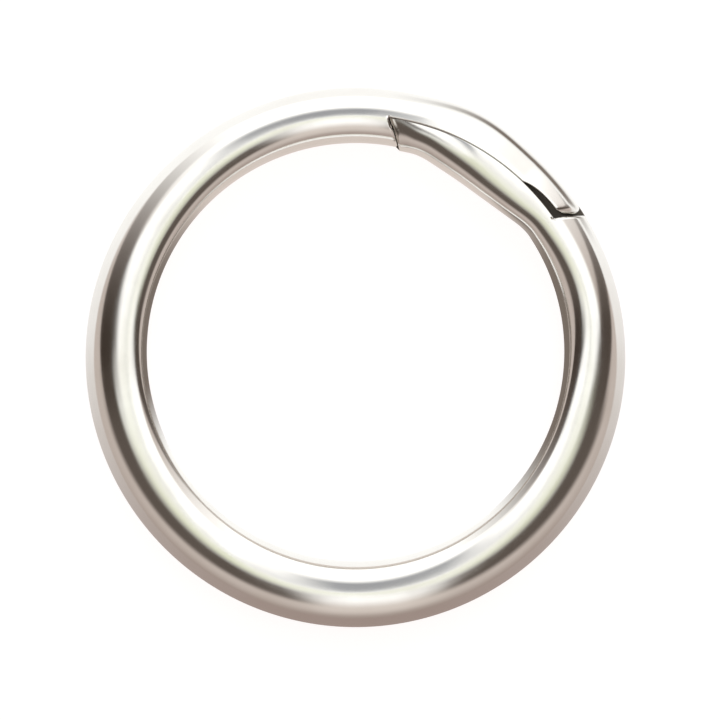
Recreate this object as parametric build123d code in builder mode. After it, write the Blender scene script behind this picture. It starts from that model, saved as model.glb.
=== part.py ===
"""Split jump ring: one wire coiled twice and pressed, so that its two turns make one round section.

The wire starts at an upper tip, runs once round as the upper half of the section, crosses down
through a straight stretch on the eye's side of the joint, runs round again as the lower half and
ends in a lower tip below the first one. Angles are degrees anticlockwise from +X, seen from above.
The origin is the middle of the rim, on the surface that the ring lies on.
"""
import os
from math import acos, asin, ceil, cos, degrees, radians, sin, sqrt

from build123d import *

# Rim and wire, in millimetres
outer_radius = 4.0
wire_width = 0.905
wire_height = 0.92
width_change = 0.08

# Gaps between the pressed turns, their broken edges, and how far the joint's runs stand in from the turns
turn_gap = 0.04
shoulder_gap = 0.05
tip_gap = 0.09
edge_break = 0.035
joint_relief = 0.01

# Joint, where the wire crosses from the upper turn to the lower one
joint_start = 35.0
joint_end = 82.0
seam_inset = 0.42
crossing_inset = 0.15
crossing_direction = 54.0
swell_height = 0.06
swell_direction = 63.0
swell_span = 16.0

# Rounded tips, which narrow to this width over this length
tip_length = 0.3
tip_width = 0.16

# Stations along the wire, in degrees
turn_step = 15.0
joint_step = 6.0
tip_stations = 4

eye_radius = outer_radius - wire_width
half_gap = turn_gap / 2
seam_radius = outer_radius - seam_inset
shoulder_angle = degrees(shoulder_gap / seam_radius)
tip_gap_angle = degrees(tip_gap / seam_radius)
tip_angle = degrees(tip_length / seam_radius)
tip_inset = (seam_inset - half_gap - tip_width) / 2


def outer_reach(angle):
    """Distance from the middle to the rim, which swells a little over the joint."""
    offset = (angle - swell_direction) / swell_span
    swell = cos(radians(90) * offset) ** 2 if abs(offset) < 1 else 0
    return outer_radius + swell_height * swell


def inner_reach(angle):
    """Distance from the middle to the eye's edge: a circle set off towards +Y, or the straight crossing."""
    across = width_change * cos(radians(angle))
    circle = width_change * sin(radians(angle)) + sqrt(eye_radius**2 - across**2)
    turned = radians(angle - crossing_direction)
    deepest = eye_radius + width_change * sin(radians(crossing_direction)) - crossing_inset
    return min(circle, deepest / cos(turned)) if cos(turned) > 0 else circle


def oval(angle, inset=0.0):
    """Middle, half width and half height of the section at an angle, drawn in all round by the inset."""
    inner = inner_reach(angle)
    outer = outer_reach(angle)
    return (inner + outer) / 2, (outer - inner) / 2 - inset, wire_height / 2 - inset


def radial_plane(angle, side=1):
    """Upright plane through the ring's axis, with local X outwards and local Y up, or down for side -1."""
    turn = radians(angle)
    return Plane(
        origin=(0, 0, wire_height / 2),
        x_dir=(cos(turn), sin(turn), 0),
        z_dir=(side * sin(turn), -side * cos(turn), 0),
    )


def turn_section(angle, side):
    """Half of the oval on one side of the gap between the turns, with its two edges broken."""
    middle, half_width, half_height = oval(angle)
    start = degrees(asin((half_gap + edge_break) / half_height))
    with BuildSketch(radial_plane(angle, side)) as section:
        with BuildLine():
            edge = EllipticalCenterArc((middle, 0), half_width, half_height, start, arc_size=180 - 2 * start)
            outer, inner = edge @ 0, edge @ 1
            Polyline(inner, (inner.X + edge_break, half_gap), (outer.X - edge_break, half_gap), outer)
        make_face()
    return section.sketch


def crossing_section(angle):
    """The oval on the eye's side of the seam, over its whole height, with its two edges broken."""
    middle, half_width, half_height = oval(angle, joint_relief)
    limit = seam_radius - half_gap
    start = degrees(acos((limit - edge_break - middle) / half_width))
    with BuildSketch(radial_plane(angle)) as section:
        with BuildLine():
            edge = EllipticalCenterArc((middle, 0), half_width, half_height, start, arc_size=360 - 2 * start)
            top, bottom = edge @ 0, edge @ 1
            Polyline(bottom, (limit, bottom.Y + edge_break), (limit, top.Y - edge_break), top)
        make_face()
    return section.sketch


def tip_section(angle, side, inset=joint_relief):
    """Quarter of the oval outside the seam, drawn in all round by the inset, with its outer edges broken."""
    middle, half_width, half_height = oval(angle, inset)
    near = seam_radius + half_gap + inset
    low = half_gap + inset
    bevel = edge_break * (1 - inset / tip_inset / 2)
    start = degrees(asin((low + bevel) / half_height))
    end = degrees(acos((near + bevel - middle) / half_width))
    with BuildSketch(radial_plane(angle, side)) as section:
        with BuildLine():
            edge = EllipticalCenterArc((middle, 0), half_width, half_height, start, arc_size=end - start)
            rim, top = edge @ 0, edge @ 1
            Polyline(top, (near, top.Y - bevel), (near, low), (rim.X - bevel, low), rim)
        make_face()
    return section.sketch


def stations(start, end, step):
    """Evenly spaced angles from start to end, both included."""
    count = ceil(abs(end - start) / step)
    return [start + (end - start) * index / count for index in range(count + 1)]


def tip_sections(end, root, side):
    """Sections of one end of the wire from its tip to its root, drawn in near the tip by a quarter circle."""
    back = end + tip_angle if root > end else end - tip_angle
    sections = []
    for index in range(tip_stations):
        share = index / tip_stations
        inset = (tip_inset - joint_relief) * (1 - sqrt(1 - (1 - share) ** 2))
        sections.append(tip_section(end + (back - end) * share, side, joint_relief + inset))
    return sections + [tip_section(angle, side) for angle in stations(back, root, joint_step)]


with BuildPart() as split_ring:
    # Upper and lower turns, each a half-round wire
    upper = stations(joint_end + shoulder_angle, joint_start + 360, turn_step)
    lower = stations(joint_end, joint_start + 360 - shoulder_angle, turn_step)
    for angles, side in ((upper, 1), (lower, -1)):
        middle = len(angles) // 2
        loft([turn_section(angle, side) for angle in angles[: middle + 1]])
        loft([turn_section(angle, side) for angle in angles[middle:]])

    # Crossing
    loft([crossing_section(angle) for angle in stations(joint_start, joint_end, joint_step)])

    # Ends of the wire, outside the seam: the upper one and the lower one
    loft(tip_sections(joint_start + tip_gap_angle, joint_end + shoulder_angle, 1))
    loft(tip_sections(joint_end - tip_gap_angle, joint_start - shoulder_angle, -1))

os.makedirs("parts", exist_ok=True)
split_ring.part.label = "split_ring"
export_step(split_ring.part, "parts/split_ring.step")
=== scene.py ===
"""Split jump ring of plated wire on a pale table, under the soft light of a tent with dark sides.

The wire is coiled twice and pressed, so that its two turns share one oval section. It is built as one
closed grid: stations along the wire, and surface directions round it. Lengths are millimetres until a mesh
or a node is made. Angles are degrees anticlockwise from +X, seen from above, and the directions round the
wire are radians.
"""
from math import cos, radians, sin

import bmesh
import bpy
import numpy as np
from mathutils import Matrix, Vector


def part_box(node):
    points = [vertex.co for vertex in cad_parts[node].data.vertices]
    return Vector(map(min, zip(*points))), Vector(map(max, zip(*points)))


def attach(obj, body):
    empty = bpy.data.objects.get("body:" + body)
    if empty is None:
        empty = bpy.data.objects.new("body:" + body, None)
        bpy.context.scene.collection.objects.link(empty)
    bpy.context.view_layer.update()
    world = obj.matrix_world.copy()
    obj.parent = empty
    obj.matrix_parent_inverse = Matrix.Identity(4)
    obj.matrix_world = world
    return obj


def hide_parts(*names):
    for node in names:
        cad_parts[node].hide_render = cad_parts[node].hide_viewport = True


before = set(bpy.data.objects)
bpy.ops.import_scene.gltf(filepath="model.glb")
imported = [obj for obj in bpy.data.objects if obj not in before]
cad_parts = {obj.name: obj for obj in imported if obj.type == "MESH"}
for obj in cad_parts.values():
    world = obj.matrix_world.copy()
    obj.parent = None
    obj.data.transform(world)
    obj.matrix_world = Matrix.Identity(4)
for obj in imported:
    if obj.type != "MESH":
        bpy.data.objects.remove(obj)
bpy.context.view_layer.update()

MM = 0.001
CAD_LOW, CAD_HIGH = (np.array(corner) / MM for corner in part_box("split_ring"))

# Rim and section. The rim swells a little over the joint, and the eye's edge is set off towards +Y
RIM = 4.0
WIRE_WIDTH = 0.905
WIRE_HEIGHT = CAD_HIGH[2] - CAD_LOW[2]
EYE = RIM - WIRE_WIDTH
EYE_SHIFT = 0.08
MID_HEIGHT = WIRE_HEIGHT / 2
SWELL = 0.06
SWELL_AT = 63.0
SWELL_SPAN = 16.0

# Coiling thickens wire towards the eye: the crest stands off the middle, and the eye's side is squarer than
# the rim's, which is an ellipse. Both show more at the sides than along Y. Beside the joint the crest stands
# further out, and the eye's side is rounder
CREST_SHIFT = 0.055
CREST_CHANGE = 0.045
RIM_SQUARENESS = 2.0
EYE_SQUARENESS = 3.0
SQUARENESS_CHANGE = 0.8
CREST_BULGE = 0.08
CREST_BULGE_AT = 14.0
CREST_BULGE_SPAN = 32.0
BULGE_ROUNDING = 1.4

# Seams between the pressed turns and along the joint, with rounded lips
SEAM = RIM - 0.42
TURN_HALF_GAP = 0.015
SEAM_HALF_GAP = 0.002
LIP = 0.014

# Painted shade on the flats hidden in the seams. It comes up between these cosines, as the surface turns to
# face the gap between the turns or the seam along the joint, where it stays faint
SHADE_BELOW = (0.7, 0.95)
SHADE_BESIDE = (0.85, 1.0)
FAINT_SHADE_BESIDE = 0.15

# Joint, with the gaps at its shoulders and tips as turns, and the crossing on the eye's side of the seam. Its
# edge is a straight chord, which counts where the cosine of the turn from its middle is above the limit. Near
# the inner shoulder the edge steps in and the crossing's top sinks, and its underside rises towards the other
JOINT_START = 35.0
JOINT_END = 82.0
SHOULDER_TURN = 0.3
TIP_TURN = 0.4
CROSSING_AT = 54.0
CROSSING_INSET = 0.15
CROSSING_SOFTNESS = 0.05
CHORD_LIMIT = 0.5
CROSSING_STEP = 0.05
CROSSING_STEP_TURN = 25.0
CROSSING_DIP = 0.36
CROSSING_EASE = 2.0
CROSSING_SQUARENESS = 0.6
CROSSING_SPAN = 30.0

# Tip: its seam side curves away from the seam over the tip's length, and its nose is rounded
TIP_LENGTH = 0.7
TIP_CURVE = 0.1
NOSE_LENGTH = 0.13
NOSE_PLACE = 0.25

# Slant of the joint's two shoulders: degrees of turn for each millimetre away from the seam
CROSS_SLANT = 9.0
RIM_SLANT = 8.0
SLANT_REACH = 9.0

# Grid: directions round the wire, degrees from one station to the next, stations of an end wall and of a
# tip, how far from the seam and the mid height a plane sweeps on an end wall, where a plane cuts nothing,
# and in metres how near two points are one
DIRECTIONS = 96
TURN_STEP = 1.5
JOINT_STEP = 0.8
WALL_STEPS = 9
TIP_STEPS = 18
WALL_REACH = np.array([0.56, 0.5, 0.47, 0.47])
NO_CUT = 9.0
WELD = 2e-7

# Plating: its colours, with the painted shade in the seams, and their roughness
BRIGHT = "#f4f3ef"
DULL = "#ebe8e2"
SEAM_PAINTED_SHADE = "#67615b"
ROUGHNESS = (0.1, 0.17)
SEAM_ROUGHNESS = 0.5

# Pattern of the plating: drawing lines and haze for each millimetre, the lines' share in the roughness, the
# noise between which the roughness rises, and the lines' depth and strength
LINES_PER_MM = (0.25, 33.0, 1.0)
HAZE_PER_MM = 1.6
LINES_SHARE = 0.35
NOISE_RANGE = (0.4, 0.95)
LINE_DEPTH = 0.004
LINE_STRENGTH = 0.05

# Table: half its width in metres, and its colour and the glow that lifts it to white for the camera
TABLE_HALF = 0.4
TABLE_SEEN = "#8a9292"
TABLE_GLOW = "#f6f1f0"

# The table in the metal, inside the eye and outside the ring, is painted light and shade: a ground colour
# and the patches on it. Each limit of a patch says what is measured, where the patch starts to show and
# where it shows in full. East and north are the direction from the middle, from -1 to 1
TABLE_STRENGTH = 1.12
LIT_TABLE = "#ffffff"
HALF_LIT_TABLE = "#d4c9c3"
SHADED_TABLE = "#9d8d87"
PAINTED_SHADE_TABLE = "#786e67"
TABLE_INSIDE = [
    (LIT_TABLE, [("north", 0.5, -0.4)]),
    (PAINTED_SHADE_TABLE, [("east", 0.62, 0.95)]),
    (PAINTED_SHADE_TABLE, [("east", -0.62, -0.95), ("north", -0.5, -0.1)]),
]
TABLE_OUTSIDE = [
    (LIT_TABLE, [("north", -1.1, 0.75)]),
    (PAINTED_SHADE_TABLE, [("east", 0.1, 0.6), ("north", 0.4, 0.65), ("distance", 4.5, 5.3), ("distance", 9.0, 6.5)]),
]

# What stands round the ring. Each patch of the surroundings: azimuth of its middle, half of its span,
# softness of its sides, tilt of its axis from the zenith towards +Y, angles from that axis where it starts
# and ends, softness of those ends, colour and strength
SURROUNDINGS = "#cbbfb9"
PATCHES = {
    "far_wall": (270, 60, 60, 0, 76, 200, 40, "#a3948d", 1.0),
    "white_cap": (90, 190, 10, 8, -20, 32, 10, "#ffffff", 1.3),
    "north_window": (90, 50, 50, 0, -20, 200, 20, "#ffffff", 1.4),
    "west_dark": (200, 58, 70, 32, 34, 68, 4, "#3f3630", 1.0),
    "east_dark": (340, 58, 70, 53, 55.5, 76, 4, "#4f4640", 1.0),
    "south_cap": (262, 76, 24, 6, -20, 26, 8, "#ffffff", 1.3),
    "pale_edge": (270, 72, 30, 24, 19, 38, 10, "#e3e6cf", 1.06),
    "south_dark": (270, 80, 20, 24, 36, 69, 16, "#5f5650", 1.0),
    "south_card": (275, 15, 12, 0, 10, 64, 30, "#e2d8d2", 1.0),
    "south_window": (275, 15, 12, 0, -20, 34, 34, "#ffffff", 1.3),
    "north_bar": (99, 25, 14, 0, -6, 32, 16, "#a3a5aa", 1.0),
}

# Camera, straight above, with the ring a little left of and above the middle of the view
VIEW_WIDTH = 10.67
VIEW_MIDDLE = (0.067, -0.04)
CAMERA_HEIGHT = 120.0
NEAREST_SEEN = 1.0
SENSOR = 36.0


def smooth(value, low, high):
    """Rises from 0 at low to 1 at high with level ends: 3t squared less 2t cubed."""
    t = np.clip((value - low) / (high - low), 0, 1)
    return t * t * (3 - 2 * t)


def circular_gap(angle, middle):
    """Turn from middle to angle, from -180 to 180 degrees."""
    return (angle - middle + 180) % 360 - 180


def bump(angle, middle, span):
    """Cosine squared hump: 1 at the middle angle and 0 from the span onwards on each side."""
    offset = np.clip(circular_gap(angle, middle) / span, -1, 1)
    return np.cos(np.pi / 2 * offset) ** 2


def rim_reach(angle):
    """Distance to the rim: a circle with a swell over the joint."""
    return RIM + SWELL * bump(angle, SWELL_AT, SWELL_SPAN)


def eye_reach(angle, crossing):
    """Distance to the eye's edge: a circle set off towards +Y, or a straight chord where that is nearer.

    The two meet in a soft bend: h runs from 0 to 1 over the softness k, and the lesser of the two distances
    is taken less k h (1 - h). crossing is 1 on the crossing, whose edge stands a little further in near its
    inner shoulder.
    """
    turn = np.radians(angle)
    across = EYE_SHIFT * np.cos(turn)
    circle = EYE_SHIFT * np.sin(turn) + np.sqrt(EYE**2 - across**2)
    deepest = EYE + EYE_SHIFT * np.sin(radians(CROSSING_AT)) - CROSSING_INSET
    slant = np.cos(turn - radians(CROSSING_AT))
    chord = np.where(slant > CHORD_LIMIT, deepest / np.maximum(slant, CHORD_LIMIT), circle + 1)
    h = np.clip(0.5 + 0.5 * (circle - chord) / CROSSING_SOFTNESS, 0, 1)
    nearer = circle + (chord - circle) * h - CROSSING_SOFTNESS * h * (1 - h)
    step = crossing * CROSSING_STEP * smooth(circular_gap(angle, JOINT_END), -CROSSING_STEP_TURN, 0)
    return nearer - step


def oval(angle, crossing):
    """Crest, half width towards the eye and towards the rim, and the power of the oval's eye side."""
    inner = eye_reach(angle, crossing)
    outer = rim_reach(angle)
    sideways = np.cos(2 * np.radians(angle))
    bulge = bump(angle, CREST_BULGE_AT, CREST_BULGE_SPAN)
    crest = (inner + outer) / 2 - CREST_SHIFT - CREST_CHANGE * sideways + CREST_BULGE * bulge
    power = EYE_SQUARENESS + SQUARENESS_CHANGE * sideways - BULGE_ROUNDING * bulge
    power = power + CROSSING_SQUARENESS * bump(angle, CROSSING_AT, CROSSING_SPAN)
    return crest, crest - inner, outer - crest, power


def section(angle, planes, direction, crossing):
    """Points of the oval cut by four planes, as the furthest point in each direction.

    The core is the oval drawn in by the lip radius, |x / a| to the power p plus |z / b| to the power p
    being 1, with its own a and p on each side of the crest. Its furthest point in the direction n has
    x = a (a nx) to the power 1 / (p - 1), over the length that puts it on the oval, and z likewise. Past a
    plane it slides to where the plane meets the oval, or to where two planes meet. The lip radius along
    n is then added, which rounds every corner. The third result is the painted shade of the flats hidden
    in the seams, and 0 on the oval.
    """
    crest, inner, outer, power = oval(angle, crossing)
    nx, nz = np.cos(direction), np.sin(direction)
    a = np.where(nx > 0, outer, inner) - LIP
    p = np.where(nx > 0, RIM_SQUARENESS, power)
    b = MID_HEIGHT - LIP
    along_x, along_z = np.abs(a * nx) ** (1 / (p - 1)), np.abs(b * nz) ** (1 / (p - 1))
    length = (along_x**p + along_z**p) ** (1 / p)
    free_x, free_z = crest + np.sign(nx) * a * along_x / length, np.sign(nz) * b * along_z / length
    x_low, x_high, z_low, z_high = (planes[..., k] for k in range(4))
    x = np.clip(free_x, x_low + LIP, x_high - LIP)
    a_there = np.where(x > crest, outer, inner) - LIP
    p_there = np.where(x > crest, RIM_SQUARENESS, power)
    reach = np.clip(1 - np.abs((x - crest) / a_there) ** p_there, 0, 1) ** (1 / p_there)
    z_cut = np.where(x == free_x, free_z, np.sign(nz) * b * reach)
    z = np.clip(z_cut, z_low + LIP, z_high - LIP)
    x_there = crest + np.sign(nx) * a * np.clip(1 - np.abs(z / b) ** p, 0, 1) ** (1 / p)
    x_there = np.clip(x_there, x_low + LIP, x_high - LIP)
    # Painted shade on the flats in the seams: faint where they face the seam along the joint, full where they
    # face the gap between the turns
    beside = FAINT_SHADE_BESIDE * (x != free_x) * smooth(np.abs(nx), *SHADE_BESIDE)
    below = (z != z_cut) * smooth(np.abs(nz), *SHADE_BELOW)
    x = np.where(z == z_cut, x, x_there)
    return x + LIP * nx, z + LIP * nz, np.maximum(beside, below)


def cut(x_low=-NO_CUT, x_high=NO_CUT, z_low=-NO_CUT, z_high=NO_CUT):
    """The four planes that a run of wire keeps to: distances from the seam, and from the mid height."""
    return np.array([x_low, x_high, z_low, z_high])


OUTER_TOP = cut(x_low=SEAM_HALF_GAP, z_low=TURN_HALF_GAP)
TOP = cut(z_low=TURN_HALF_GAP)
INNER_TOP = cut(x_high=-SEAM_HALF_GAP, z_low=TURN_HALF_GAP)
INNER = cut(x_high=-SEAM_HALF_GAP)
INNER_BOTTOM = cut(x_high=-SEAM_HALF_GAP, z_high=-TURN_HALF_GAP)
BOTTOM = cut(z_high=-TURN_HALF_GAP)
OUTER_BOTTOM = cut(x_low=SEAM_HALF_GAP, z_high=-TURN_HALF_GAP)


def run(planes, start, end, step):
    """Stations of one run with fixed planes, evenly spaced from start to end."""
    count = int(np.ceil((end - start) / step)) + 1
    return np.linspace(start, end, count), np.tile(planes, (count, 1))


def wall(first, second, angle):
    """Stations of an end wall: all at one angle, while the plane that differs sweeps across."""
    low, high = np.clip(first, -WALL_REACH, WALL_REACH), np.clip(second, -WALL_REACH, WALL_REACH)
    share = smooth(np.linspace(0, 1, WALL_STEPS), 0, 1)[1:-1, None]
    return np.full(WALL_STEPS - 2, angle), low + (high - low) * share


def wire_stations():
    """Unrolled angles and planes of the whole wire, from the upper tip to the lower one."""
    upper_tip = JOINT_START + TIP_TURN
    upper_start = JOINT_END + SHOULDER_TURN
    crossing_start = JOINT_START + 360
    crossing_end = JOINT_END + 360
    lower_end = JOINT_START + 720 - SHOULDER_TURN
    lower_tip = JOINT_END + 720 - TIP_TURN
    tip_turn = np.degrees(TIP_LENGTH / SEAM)
    tip = 1 - np.cos(np.linspace(0, np.pi / 2, TIP_STEPS))
    parts = [
        (upper_tip + tip_turn * tip, np.tile(OUTER_TOP, (TIP_STEPS, 1))),
        run(OUTER_TOP, upper_tip + tip_turn, upper_start, JOINT_STEP),
        wall(OUTER_TOP, TOP, upper_start),
        run(TOP, upper_start, upper_start + SLANT_REACH, JOINT_STEP),
        run(TOP, upper_start + SLANT_REACH, crossing_start - SLANT_REACH, TURN_STEP),
        run(TOP, crossing_start - SLANT_REACH, crossing_start, JOINT_STEP),
        wall(TOP, INNER_TOP, crossing_start),
        wall(INNER_TOP, INNER, crossing_start),
        run(INNER, crossing_start, crossing_end, JOINT_STEP),
        wall(INNER, INNER_BOTTOM, crossing_end),
        wall(INNER_BOTTOM, BOTTOM, crossing_end),
        run(BOTTOM, crossing_end, crossing_end + SLANT_REACH, JOINT_STEP),
        run(BOTTOM, crossing_end + SLANT_REACH, lower_end - SLANT_REACH, TURN_STEP),
        run(BOTTOM, lower_end - SLANT_REACH, lower_end, JOINT_STEP),
        wall(BOTTOM, OUTER_BOTTOM, lower_end),
        run(OUTER_BOTTOM, lower_end, lower_tip - tip_turn, JOINT_STEP),
        (lower_tip - tip_turn * tip[::-1], np.tile(OUTER_BOTTOM, (TIP_STEPS, 1))),
    ]
    angles, planes = zip(*parts)
    return np.concatenate(angles), np.concatenate(planes)


def from_tips(angles, length):
    """Distance of each station from the nearer tip, as a share of a length from 0 to 1."""
    near = np.minimum(angles - angles[0], angles[-1] - angles)
    return np.clip(near / np.degrees(length / SEAM), 0, 1)[:, None]


def drawn_tips(x, z, angles):
    """The two ends of the wire: the seam side curves away as a cube, and the nose is a quarter circle."""
    rim = x.max(1, keepdims=True)
    seam_side = np.clip((rim - x) / (rim - SEAM), 0, 1)
    x = x + TIP_CURVE * (1 - from_tips(angles, TIP_LENGTH) ** 3) * seam_side
    nose = np.sqrt(1 - (1 - from_tips(angles, NOSE_LENGTH)) ** 2)
    nose_x, nose_z = SEAM + NOSE_PLACE, z.mean(1, keepdims=True)
    return nose_x + (x - nose_x) * nose, nose_z + (z - nose_z) * nose


def dipped(z, angle, crossing):
    """Heights on the crossing, whose top sinks towards one shoulder and whose underside rises to the other.

    The height is multiplied by 1 less the dip times the share of the way to that shoulder, squared.
    """
    middle = (JOINT_START + JOINT_END) / 2
    half = (JOINT_END - JOINT_START) / 2
    along = circular_gap(angle, middle) / half
    share = np.clip(np.where(z > 0, along, -along), 0, 1) ** CROSSING_EASE
    return z * (1 - crossing * CROSSING_DIP * share)


def wire_surface():
    """Grid of the wire's surface: points, angles along the wire, directions round it, and painted seam shade.

    The joint's two shoulders are slanted: a first pass finds how far each point stands from the seam, the
    point turns by an angle in proportion to that, and the section is taken again at the turned angle.
    """
    angles, planes = wire_stations()
    around = (np.arange(DIRECTIONS) + 0.5) * 2 * np.pi / DIRECTIONS
    station, direction = np.meshgrid(angles, around, indexing="ij")
    planes = planes[:, None, :] + np.array([SEAM, SEAM, 0, 0])
    crossing = ((station >= JOINT_START + 360) & (station <= JOINT_END + 360)).astype(float)

    from_seam = drawn_tips(*section(station, planes, direction, crossing)[:2], angles)[0] - SEAM
    at_end = 1 - smooth(np.abs(circular_gap(station, JOINT_END)), 0, SLANT_REACH)
    at_start = 1 - smooth(np.abs(circular_gap(station, JOINT_START)), 0, SLANT_REACH)
    angle = station + CROSS_SLANT * np.minimum(from_seam, 0) * at_end
    angle = angle - RIM_SLANT * np.maximum(from_seam, 0) * at_start

    x, z, painted_seam_shade = section(angle, planes, direction, crossing)
    x, z = drawn_tips(x, dipped(z, station, crossing), angles)
    turn = np.radians(angle)
    points = np.stack([x * np.cos(turn), x * np.sin(turn), z + MID_HEIGHT], -1)
    return points, station, direction, painted_seam_shade


def closed_faces(count):
    """Faces of a grid of stations by directions, joined all round, with a fan to a pole at each end."""
    index = np.arange(count * DIRECTIONS).reshape(count, DIRECTIONS)
    beside = np.roll(index, -1, axis=1)
    quads = np.stack([index[:-1], beside[:-1], beside[1:], index[1:]], -1).reshape(-1, 4)
    pole = np.full(DIRECTIONS, count * DIRECTIONS)
    first_cap = np.stack([pole, beside[0], index[0]], -1)
    last_cap = np.stack([pole + 1, index[-1], beside[-1]], -1)
    return quads.tolist() + first_cap.tolist() + last_cap.tolist()


def wire_mesh():
    """The wire as one closed mesh, with a UV map in millimetres and the painted seam shade as an attribute.
    """
    points, station, direction, painted_seam_shade = wire_surface()
    poles = points[[0, -1]].mean(1)
    mesh = bpy.data.meshes.new("split_ring_wire")
    mesh.from_pydata(np.concatenate([points.reshape(-1, 3), poles]) * MM, [], closed_faces(len(points)))

    along = np.append(np.radians(station).ravel() * SEAM, [0, 0])
    around = np.append(direction.ravel() * WIRE_HEIGHT / 2, [0, 0])
    loops = np.zeros(len(mesh.loops), np.int32)
    mesh.loops.foreach_get("vertex_index", loops)
    layer = mesh.uv_layers.new(name="wire")
    layer.data.foreach_set("uv", np.stack([along[loops], around[loops]], -1).ravel())
    painted_shade_layer = mesh.attributes.new("seam", "FLOAT", "POINT")
    painted_shade_layer.data.foreach_set("value", np.append(painted_seam_shade.ravel(), [0, 0]))

    grid = bmesh.new()
    grid.from_mesh(mesh)
    bmesh.ops.remove_doubles(grid, verts=grid.verts, dist=WELD)
    bmesh.ops.recalc_face_normals(grid, faces=grid.faces)
    grid.to_mesh(mesh)
    grid.free()
    mesh.shade_smooth()
    return mesh


def linear(hex_colour, strength=1.0):
    """Linear RGBA of an sRGB hex colour, its colour times a strength."""
    channels = np.array([int(hex_colour[k : k + 2], 16) for k in (1, 3, 5)]) / 255
    high = ((channels + 0.055) / 1.055) ** 2.4
    return (*strength * np.where(channels <= 0.04045, channels / 12.92, high), 1.0)


def add(tree, kind, *values, output=None, **options):
    """Adds a shader node and returns one of its outputs: the named one, or the first in use.

    Values go to the inputs in use, in their order. An option in lower case is a property of the node, and
    any other is an input by its name, with underscores for spaces. An output given to an input is linked.
    """
    node = tree.nodes.new("ShaderNode" + kind)
    for name in filter(str.islower, options):
        setattr(node, name, options[name])
    named = {name.replace("_", " "): options[name] for name in options if not name.islower()}
    given = list(zip((socket for socket in node.inputs if socket.enabled), values))
    for socket, value in given + [(node.inputs[name], named[name]) for name in named]:
        if isinstance(value, bpy.types.NodeSocket):
            tree.links.new(value, socket)
        else:
            socket.default_value = value
    if output:
        return node.outputs[output]
    return next((socket for socket in node.outputs if socket.enabled), None)


def patch(tree, limits):
    """Share of a soft-edged patch: the product of one smooth rise for each value between its two limits."""
    share = 1.0
    for value, start, full in limits:
        rise = add(tree, "MapRange", value, start, full, interpolation_type="SMOOTHSTEP")
        share = add(tree, "Math", share, rise, operation="MULTIPLY")
    return share


def plated_wire():
    """Bright silver-coloured plating on drawn wire, barrel-polished.

    The eye gets clean dark and white stripes, with a very slight haze and faint lines along the wire.
    """
    material = bpy.data.materials.new("bright_plated_wire")
    material.use_nodes = True
    tree = material.node_tree
    tree.nodes.clear()

    # Drawing lines 0.03 mm apart and several millimetres long
    stretched = add(tree, "Mapping", Vector=add(tree, "UVMap", uv_map="wire"), Scale=LINES_PER_MM)
    lines = add(tree, "TexNoise", Vector=stretched, Scale=1.0, Detail=3.0)
    # Haze in patches of about 0.6 mm, where the tumbled plating is a little duller
    body_place = add(tree, "TexCoord", output="Object")
    haze = add(tree, "TexNoise", Vector=body_place, Scale=HAZE_PER_MM / MM, Detail=4.0)
    # The flat faces in the seams are rougher, and darkened with painted shade where little light would reach
    painted_seam_shade = add(tree, "Attribute", output="Fac", attribute_name="seam")

    noise = add(tree, "Math", lines, LINES_SHARE, haze, operation="MULTIPLY_ADD")
    roughness = add(tree, "MapRange", noise, *NOISE_RANGE, *ROUGHNESS)
    roughness = add(tree, "MapRange", painted_seam_shade, 0.0, 1.0, roughness, SEAM_ROUGHNESS)
    plating = add(tree, "Mix", haze, linear(BRIGHT), linear(DULL), data_type="RGBA")
    colour = add(tree, "Mix", painted_seam_shade, plating, linear(SEAM_PAINTED_SHADE), data_type="RGBA")
    relief = add(tree, "Bump", Height=lines, Strength=LINE_STRENGTH, Distance=LINE_DEPTH * MM)
    metal = add(tree, "BsdfPrincipled", Base_Color=colour, Metallic=1.0, Roughness=roughness, Normal=relief)
    add(tree, "OutputMaterial", Surface=metal)
    return material


def table_top():
    """Matt white table, which keeps the ring's soft shadow.

    In the metal it shows painted light and shade round the ring below the horizon: pale where the window's
    light would fall, which is outside the ring to the north and inside it to the south, and warm grey as
    the ring's own painted shade. It is darker with painted shade inside the eye at the east and west, and
    outside the ring at the north-east.
    """
    material = bpy.data.materials.new("matt_table")
    material.use_nodes = True
    tree = material.node_tree
    tree.nodes.clear()
    place = add(tree, "TexCoord", output="Object")
    outwards = add(tree, "VectorMath", place, operation="NORMALIZE")
    east, north = add(tree, "SeparateXYZ", outwards).node.outputs[:2]
    distance = add(tree, "Math", add(tree, "VectorMath", place, operation="LENGTH"), MM, operation="DIVIDE")
    measured = {"east": east, "north": north, "distance": distance}

    def laid(ground, patches):
        """The ground colour with each patch mixed over it in turn."""
        colour = linear(ground)
        for tint, limits in patches:
            share = patch(tree, [(measured[name], start, full) for name, start, full in limits])
            colour = add(tree, "Mix", share, colour, linear(tint), data_type="RGBA")
        return colour

    # Painted light and shade of the table, glowing only for the rays that the metal reflects
    inside, outside = laid(HALF_LIT_TABLE, TABLE_INSIDE), laid(SHADED_TABLE, TABLE_OUTSIDE)
    under_wire = patch(tree, [(distance, EYE, SEAM)])
    mirrored = add(tree, "Mix", under_wire, inside, outside, data_type="RGBA")
    in_metal = add(tree, "Emission", Color=mirrored, Strength=TABLE_STRENGTH)
    matt = add(tree, "BsdfDiffuse", Color=linear(TABLE_SEEN))
    glow = add(tree, "Emission", Color=linear(TABLE_GLOW), Strength=1.0)
    shown = add(tree, "AddShader", matt, glow)
    seen = add(tree, "LightPath", output="Is Camera Ray")
    add(tree, "OutputMaterial", Surface=add(tree, "MixShader", seen, in_metal, shown))
    return material


def table():
    """A square sheet far wider than the view, on which the ring lies."""
    mesh = bpy.data.meshes.new("table")
    corners = [(-1, -1, 0), (1, -1, 0), (1, 1, 0), (-1, 1, 0)]
    mesh.from_pydata(np.array(corners) * TABLE_HALF, [], [(0, 1, 2, 3)])
    piece = bpy.data.objects.new("table", mesh)
    bpy.context.scene.collection.objects.link(piece)
    mesh.materials.append(table_top())


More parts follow.
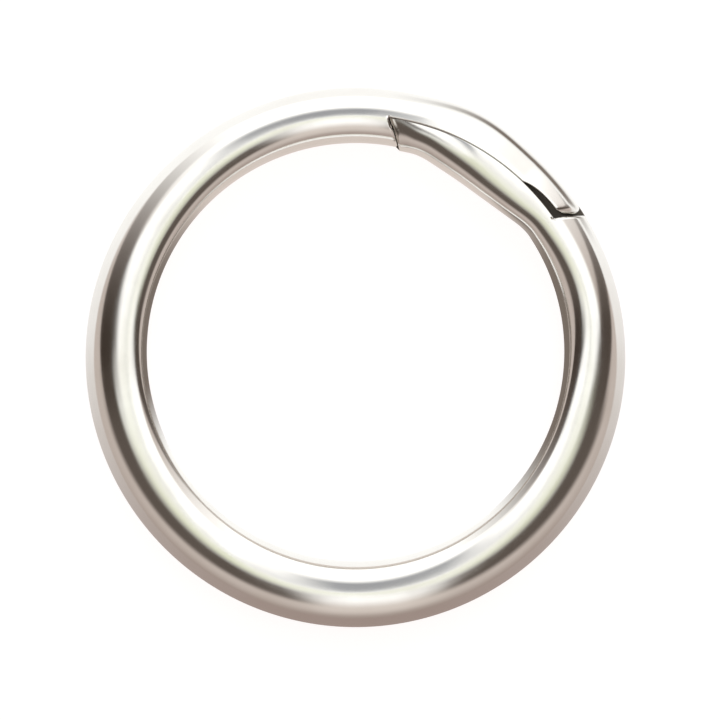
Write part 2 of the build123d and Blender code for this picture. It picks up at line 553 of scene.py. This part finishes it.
def studio():
    """World light: pale surroundings with a bright window to the north and dark cards at the sides.

    Each patch is a product of three soft steps: of the turn from its middle azimuth, and of the angle from
    its axis past its start and before its end. The camera sees plain white.
    """
    world = bpy.data.worlds.new("studio")
    bpy.context.scene.world = world
    world.use_nodes = True
    tree = world.node_tree
    tree.nodes.clear()
    direction = add(tree, "TexCoord", output="Generated")
    east, north = add(tree, "SeparateXYZ", direction).node.outputs[:2]
    azimuth = add(tree, "Math", north, east, operation="ARCTAN2")
    colour = linear(SURROUNDINGS)
    for middle, half, side, tilt, start, end, edge, tint, strength in PATCHES.values():
        offset = add(tree, "Math", azimuth, radians(middle), operation="SUBTRACT")
        turned = add(tree, "Math", offset, radians(180), radians(-180), operation="WRAP")
        away = add(tree, "Math", turned, operation="ABSOLUTE")
        axis = (0, sin(radians(tilt)), cos(radians(tilt)))
        facing = add(tree, "VectorMath", direction, axis, operation="DOT_PRODUCT")
        off_axis = add(tree, "Math", facing, operation="ARCCOSINE")
        limits = [
            (away, half + side / 2, half - side / 2),
            (off_axis, start - edge / 2, start + edge / 2),
            (off_axis, end + edge / 2, end - edge / 2),
        ]
        share = patch(tree, [(value, radians(low), radians(high)) for value, low, high in limits])
        colour = add(tree, "Mix", share, colour, linear(tint, strength), data_type="RGBA")
    seen = add(tree, "LightPath", output="Is Camera Ray")
    shown = add(tree, "Mix", seen, colour, linear("#ffffff"), data_type="RGBA")
    add(tree, "OutputWorld", Surface=add(tree, "Background", Color=shown, Strength=1.0))


def camera():
    """Camera straight above, whose lens spans the view's width at the ring's mid height."""
    data = bpy.data.cameras.new("camera")
    data.sensor_width = SENSOR
    data.lens = SENSOR * CAMERA_HEIGHT / VIEW_WIDTH
    data.clip_start = NEAREST_SEEN * MM
    piece = bpy.data.objects.new("camera", data)
    piece.location = Vector((*VIEW_MIDDLE, MID_HEIGHT + CAMERA_HEIGHT)) * MM
    bpy.context.scene.collection.objects.link(piece)
    bpy.context.scene.camera = piece


def ring():
    """The ring's own piece, in place of the plain solid."""
    mesh = wire_mesh()
    mesh.materials.append(plated_wire())
    piece = bpy.data.objects.new("plated_split_ring", mesh)
    bpy.context.scene.collection.objects.link(piece)
    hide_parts("split_ring")
    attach(piece, "root")


bpy.context.scene.view_settings.view_transform = "Standard"
camera()
studio()
table()
ring()
